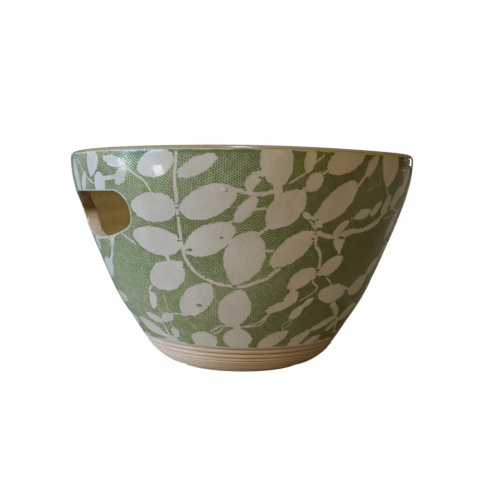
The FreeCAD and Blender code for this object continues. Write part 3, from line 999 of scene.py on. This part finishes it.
def clay_body(cut):
    section = wall_line(0, SLIP_LINE.y, LIP_Z) + lip_line(0, 0)
    section += inside_line(0)[::-1] + [Vector((0, FLOOR_Z))]
    section += underside_line() + bead_line(bead_list(), 0)[::-1]
    piece = as_object("stoneware_body", lathe(section))
    carve(piece, [cut])
    finish_piece(piece, "clay_body", clay_finish())


# Blisters in the white slip: degrees round, height and size in mm.
BLISTERS = [(57.2, 83.7, 1.35), (246, 62, 1.1), (171, 38, 1.0)]
SLIP_END = SLIP_LINE.y - 0.3


def slip_coat(cut):
    outer = wall_line(SLIP, SLIP_END, LIP_Z - 0.1)
    outer += [lip_spot(radians(angle), SLIP) for angle in range(2, 42, 6)]
    inner = wall_line(-COAT_SINK, SLIP_LINE.y + 0.1, LIP_Z - 0.2)
    inner += [lip_spot(radians(38), -COAT_SINK)]
    piece = as_object("white_slip_coat", lathe(outer + inner[::-1]))
    carve(piece, [cut])
    add_drops(piece, BLISTERS, BLISTER_THICKNESS, repeats=1)
    vertex_values(piece, "thin", lambda spot: 1 - ease(spot.z, SLIP_END, SLIP_LINE.y + 0.7))
    finish_piece(piece, "slip_coat", white_slip_finish())


# Patches of the print: degrees round from the slot, height, spread, mm down, and share in the middle.
# Green slip ran together in the pools, the net was drawn open where it is sheer, and one dab is thick. The
# sheer patches at 27.2 and 127.5 degrees are painted highlights, pale threads where glints fall.
POOLS = [
    (31, 98.4, 3.5, 1.8, 1.0), (47, 98.9, 8, 1.7, 1.0), (58, 99.1, 12, 1.2, 1.0),
    (210, 98.9, 9, 1.5, 1.0), (250, 98.9, 14, 1.4, 1.0),
]
# The patches at 27.2 and 127.5 degrees are painted highlights; the rest are sheer net.
SHEER_AND_GLINTS = [
    (27.2, 95.3, 3.2, 4.6, 1.0), (57.5, 88.2, 4.5, 3.0, 0.45), (106, 87, 5, 3, 0.4), (127.5, 93, 3.5, 5, 0.9),
    (63, 69, 4, 3, 0.35), (207, 84, 5, 4, 0.7), (300, 60, 7, 6, 0.5),
]
DAB = [(14, 89, 10, 7, 0.4)]
THINNEST = 25  # degrees round, and opposite


def patchy(patches, squareness=2):
    """The value at any spot that these patches give, squarer at their sides if `squareness` is more."""
    def value_at(spot):
        turn = turn_of(spot)
        value = 0.0
        for middle, height, spread, drop, share in patches:
            across = (turn - middle + 180) % 360 - 180
            fade = exp(-((across / spread) ** squareness) - ((spot.z - height) / drop) ** 2)
            value = max(value, share * fade)
        return value

    return value_at


def print_thickness(spot):
    """How thickly the green went on: thin on two sides, where the cloth shows white, thick between."""
    turn = radians(turn_of(spot) - THINNEST)
    thick = 0.5 - 0.42 * cos(2 * turn) - 0.1 * ease(spot.z, 70, 95)
    thick += 0.35 * noise.noise(spot * 0.035)
    thick += patchy(DAB)(spot)
    return max(0.0, min(1.0, thick))


# Spots of green that came through where the lace was torn: degrees round, height and size in mm.
STRAY_SPOTS = [
    (45, 34.2, 1.0), (44.3, 34.5, 0.7), (55.9, 64.2, 0.6), (41, 62.6, 0.5), (42, 62.6, 0.45),
    (42.5, 73.1, 0.6), (42.3, 76.3, 0.7), (42.2, 77.8, 0.5), (63.2, 83.6, 0.5), (67.5, 88.6, 0.7),
    (59.8, 43.4, 0.9), (60.6, 42.8, 0.5), (49.3, 46.9, 0.6), (47.9, 48, 0.45), (84.2, 71.8, 0.6),
    (85.4, 71.2, 0.7), (86.6, 72, 0.6), (85.9, 70.2, 0.5), (87.9, 68, 1.0), (86.9, 67.5, 0.7),
    (87, 66.1, 0.6), (86.4, 63.9, 0.6), (88.6, 61, 0.5), (89.5, 57.8, 0.45), (90.6, 51.8, 0.5),
    (97.3, 64.4, 0.9), (98.4, 64.1, 0.8), (99.4, 71.9, 0.5), (96.9, 75.2, 0.5), (44.7, 58.8, 0.9),
    (43.7, 58.5, 0.6),
]


DROP_ACROSS = 1.2  # shares of a drop's size
DROP_UP = 0.8


def add_drops(piece, drops, thickness, repeats=LACE_REPEATS):
    """Small flat drops of slip, `thickness` mm proud of the white slip."""
    bm = bmesh.new()
    bm.from_mesh(piece.data)
    for repeat in range(repeats):
        for turn, height, size in drops:
            flat = Matrix.Diagonal((DROP_ACROSS, DROP_UP, thickness / size, 1))
            place = facing(turn + repeat * 360 / LACE_REPEATS, height, SLIP) @ flat
            bmesh.ops.create_icosphere(bm, subdivisions=3, radius=size, matrix=place)
    bm.to_mesh(piece.data)
    bm.free()


LACE_START = SLIP_LINE.y + 0.3
LACE_SHOULDER = (3, 7, 11)  # degrees up the lip
EDGE_WAVES = 14


def lace_band(coat):
    """Section points over all that the lace covered, `coat` outside the clay."""
    shoulder = [lip_spot(radians(angle), coat) for angle in LACE_SHOULDER]
    return wall_line(coat, LACE_START, LIP_Z - 0.1) + shoulder


def fray(piece):
    """Lets the upper and lower edges of the print wander up and down."""
    for vert in piece.data.vertices:
        around = radians(turn_of(vert.co))
        ring = Vector((cos(around), sin(around), 0)) * EDGE_WAVES
        high = ease(vert.co.z, LIP_Z - 0.6, LIP_Z)
        low = 1 - ease(vert.co.z, LACE_START, SLIP_LINE.y + 1.2)
        vert.co.z += high * 0.45 * noise.noise(ring)
        vert.co.z += low * (0.35 + 0.9 * noise.noise(ring * 0.7))


def lace_print(cut):
    band = lace_band(SLIP + PRINT) + lace_band(SLIP - PRINT_SINK)[::-1]
    piece = as_object("lace_print_green", lathe(band))
    fray(piece)
    tools = lace_tools()
    carve(piece, [cut] + tools)
    remove_all(tools)
    add_drops(piece, STRAY_SPOTS, SPOT_THICKNESS)
    lay_lace(piece)
    vertex_values(piece, "pool", patchy(POOLS, 4))
    vertex_values(piece, "thick", print_thickness)
    # Sheer net, with painted highlights at two places.
    vertex_values(piece, "sheer_and_glints", patchy(SHEER_AND_GLINTS))
    finish_piece(piece, "lace_print", lace_finish())


def throwing_rings(piece):
    """Low spiral ridges left inside by the potter's fingers."""
    for vert in piece.data.vertices:
        spot = vert.co
        share = ease(spot.z, FLOOR_Z + 3, FLOOR_Z + 12) * (1 - ease(spot.z, LIP_Z - 12, LIP_Z - 4))
        wave = cos(spot.z * tau / RING_PITCH + atan2(spot.y, spot.x))
        spot.xy *= 1 - RING_DEPTH * share * wave / max(spot.xy.length, 1)


# The liner's outer edge: degrees up the lip and mm outside the clay, then over the lip from BRIM_START.
BRIM = ((23, SLIP - 0.1), (25, SLIP + 0.12), (28, SLIP + 0.24))
BRIM_START = 0.16  # share of the way over
BRIM_ROLL = 0.8


def liner_glaze(cut):
    section = [lip_spot(radians(angle), coat) for angle, coat in BRIM]
    section += lip_line(BRIM_ROLL, LINER, start=BRIM_START) + inside_line(LINER, 110)[::-1]
    for step in range(FLOOR_STEPS - 1, 0, -1):
        radius = FLOOR_FLAT_RADIUS * step / FLOOR_STEPS
        ridge = RING_DEPTH * (1 + cos(radius * tau / RING_PITCH + 1)) * radius / FLOOR_FLAT_RADIUS
        section.append(Vector((radius, FLOOR_Z + LINER + ridge * (1 - step / FLOOR_STEPS))))
    section += [Vector((0, FLOOR_Z + LINER)), Vector((0, FLOOR_Z - COAT_SINK))]
    section += inside_line(-COAT_SINK) + lip_line(-COAT_SINK, -COAT_SINK, start=BRIM_START)[::-1]
    piece = as_object("honey_liner", lathe(section))
    throwing_rings(piece)
    carve(piece, [cut])
    vertex_values(piece, "lip", lambda spot: ease(spot.z, LIP_Z - 3, LIP_Z + 0.5))
    vertex_values(piece, "floor", lambda spot: 1 - ease(spot.z, FLOOR_Z + 0.5, FLOOR_Z + 9))
    finish_piece(piece, "liner_glaze", liner_finish())


PAINTED_LIGHT_SIDE = -22  # degrees round: painted light on this side of the heel, painted shade on the opposite side


def heel_glaze():
    beads = bead_list()[:-BARE_BEAD_COUNT]
    section = bead_line(beads, HEEL_GLAZE) + bead_line(beads, -HEEL_SINK)[::-1]
    piece = as_object("heel_glaze_coat", lathe(section))

    def crest(spot):
        section_spot = Vector((hypot(spot.x, spot.y), spot.z))
        return ((section_spot - HEEL_CENTRE).length - BEAD_FLOOR - HEEL_GLAZE) / BEAD_DEPTH

    vertex_values(piece, "crest", crest)
    # Where the painted shade under the slip's edge goes.
    vertex_values(piece, "under", lambda spot: ease(spot.z, SLIP_LINE.y - 1.3, SLIP_LINE.y - 0.6))
    # Painted light and shade by side: 1 on the lit side, 0 on the shaded side.
    vertex_values(piece, "painted_side_light", lambda spot: 0.5 + 0.5 * cos(radians(turn_of(spot) - PAINTED_LIGHT_SIDE)))
    finish_piece(piece, "heel_glaze", heel_finish(), sharp=60)


def slot_glaze():
    """The lining of the slot, rounded over on to the coats on both faces of the wall."""
    outside = SLIP + PRINT
    inside = -WALL - LINER
    # Mm outside the slot's mouth, mm outside the clay, and how white the arris is there.
    rings = [
        (0.75, outside - 0.1, 1.0), (0.6, outside + 0.06, 1.0), (0.4, outside + 0.12, 0.9),
        (0.18, outside + 0.02, 0.6), (0.04, outside - 0.25, 0.25), (0.0, outside - 0.7, 0.0),
        (0.0, -WALL * 0.35, 0.0), (0.0, -WALL * 0.7, 0.0), (0.0, -WALL - 0.05, 0.0),
        (0.08, inside + 0.05, 0.0), (0.3, inside - 0.1, 0.0), (0.7, inside, 0.0),
        (0.6, -WALL, 0.0), (0.55, -WALL * 0.5, 0.0), (0.55, 0.0, 0.0),
    ]
    bm = bmesh.new()
    white = bm.verts.layers.float.new("arris")
    low = bm.verts.layers.float.new("low")
    loops = []
    for grow, coat, arris in rings:
        loop = []
        for point in slot_outline(grow):
            reach = wall_point(point.y, coat).x
            vert = bm.verts.new((-sqrt(reach**2 - point.x**2), point.x, point.y))
            vert[white] = arris
            # How far down the slot: the lining is painted pale there as painted light, and left dark above as
            # painted shade.
            vert[low] = 1 - ease(point.y, SLOT_TOP - SLOT_HEIGHT, SLOT_TOP - SLOT_HEIGHT * 0.2)
            loop.append(vert)
        loops.append([bm.edges.new(pair) for pair in zip(loop, loop[1:] + loop[:1])])
    for first, second in zip(loops, loops[1:] + loops[:1]):
        bmesh.ops.bridge_loops(bm, edges=first + second)
    piece = as_object("slot_lining", bm)
    finish_piece(piece, "slot_glaze", slot_finish(), sharp=60)


def make_bowl():
    cut = slot_tool(SLOT_SPARE)
    clay_body(cut)
    slip_coat(cut)
    lace_print(cut)
    liner_glaze(cut)
    heel_glaze()
    slot_glaze()
    remove_all([cut])


make_bowl()


# ---- floor, world and lamps, in metres
FLOOR_DROP = 0.00002
FLOOR_WHITE = 0.985  # as the camera sees it
LAMP_AIM = Vector((0, 0, 0.06))


def make_floor():
    bm = bmesh.new()
    bmesh.ops.create_grid(bm, x_segments=1, y_segments=1, size=4.0)
    floor = as_object("floor", bm)
    floor.location.z = -FLOOR_DROP
    material, tree, shader = new_finish("pale studio floor", Roughness=0.9)
    shader.inputs["Base Color"].default_value = tone(226, 221, 206)
    seen = add(tree, "LightPath").outputs["Is Camera Ray"]
    glow = add(tree, "Emission", {"Color": (1, 1, 1, 1), "Strength": 1.0})
    share = times(tree, seen, FLOOR_WHITE)
    mixed = add(tree, "MixShader", {0: share, 1: shader.outputs[0], 2: glow.outputs[0]})
    tree.links.new(mixed.outputs[0], tree.nodes["Material Output"].inputs[0])
    floor.data.materials.append(material)


def studio_way(azimuth, elevation):
    """A direction by degrees round from the camera's side, positive to its right, and degrees up."""
    a = radians(azimuth)
    level = towards_viewer * cos(a) + viewer_right * sin(a)
    return level * cos(radians(elevation)) + Vector((0, 0, sin(radians(elevation))))


DAYLIGHT = (1.06, 1.14, 1.5, 1)
ROOM_LIGHT = (1.42, 0.9, 0.1, 1)
FILL = (0.02, 0.015, 0.01, 1)


def make_world():
    """A white studio: daylight from the left, a warmer room in front, little from the right."""
    world = bpy.data.worlds.new("studio")
    bpy.context.scene.world = world
    world.use_nodes = True
    tree = world.node_tree
    tree.nodes.clear()
    way = add(tree, "TexCoord").outputs["Generated"]

    def towards(azimuth, elevation, low):
        facing_it = vectors(tree, "DOT_PRODUCT", {0: way, 1: studio_way(azimuth, elevation)})
        return between(tree, facing_it["Value"], low, 1.0)

    black = (0, 0, 0, 1)
    left = blend(tree, towards(-85, 0, 0.25), black, DAYLIGHT)
    front = blend(tree, towards(-17, 0, 0.3), black, ROOM_LIGHT)
    around = blend(tree, 1.0, left, front, "ADD")
    around = blend(tree, 1.0, around, FILL, "ADD")
    path = add(tree, "LightPath")
    white = maths(tree, "MAXIMUM", path.outputs["Is Camera Ray"], path.outputs["Is Transmission Ray"])
    seen = blend(tree, white, around, (1, 1, 1, 1))
    sky = add(tree, "Background", {"Color": seen, "Strength": 1.0})
    output = add(tree, "OutputWorld")
    tree.links.new(sky.outputs[0], output.inputs[0])


def make_lamp(name, azimuth, elevation, away, width, height, energy, colour, spread=180):
    """A soft lamp that faces the bowl, its beam kept within `spread` degrees."""
    data = bpy.data.lights.new(name, "AREA")
    data.spread = radians(spread)
    data.shape = "RECTANGLE"
    data.size = width
    data.size_y = height
    data.energy = energy
    data.color = colour
    lamp = bpy.data.objects.new(name, data)
    lamp.location = LAMP_AIM + studio_way(azimuth, elevation) * away
    lamp.rotation_euler = (LAMP_AIM - lamp.location).to_track_quat("-Z", "Y").to_euler()
    bpy.context.scene.collection.objects.link(lamp)


def make_lamps():
    make_lamp("window", -66, 13, 1.3, 0.7, 0.36, 8.6, (0.44, 1.05, 2.05))
    make_lamp("left pane", -75.2, -0.7, 0.41, 0.04, 0.06, 0.013, (0.9, 1.0, 0.95), spread=60)
    make_lamp("right pane", -48.7, -5.9, 0.333, 0.034, 0.042, 0.011, (1.0, 1.0, 1.0), spread=60)
    make_lamp("far pane", 138, 8, 0.38, 0.015, 0.03, 0.004, (1.0, 0.98, 0.85), spread=60)
    make_lamp("overhead", 0, 89.9, 0.8, 0.05, 0.05, 0.052, (1.0, 1.02, 1.15), spread=15)
    make_lamp("room lamp", 22, 4, 1.5, 0.16, 0.12, 0.5, (0.9, 0.6, 0.2))


make_floor()
make_world()
make_lamps()
bpy.context.scene.view_settings.view_transform = "Standard"
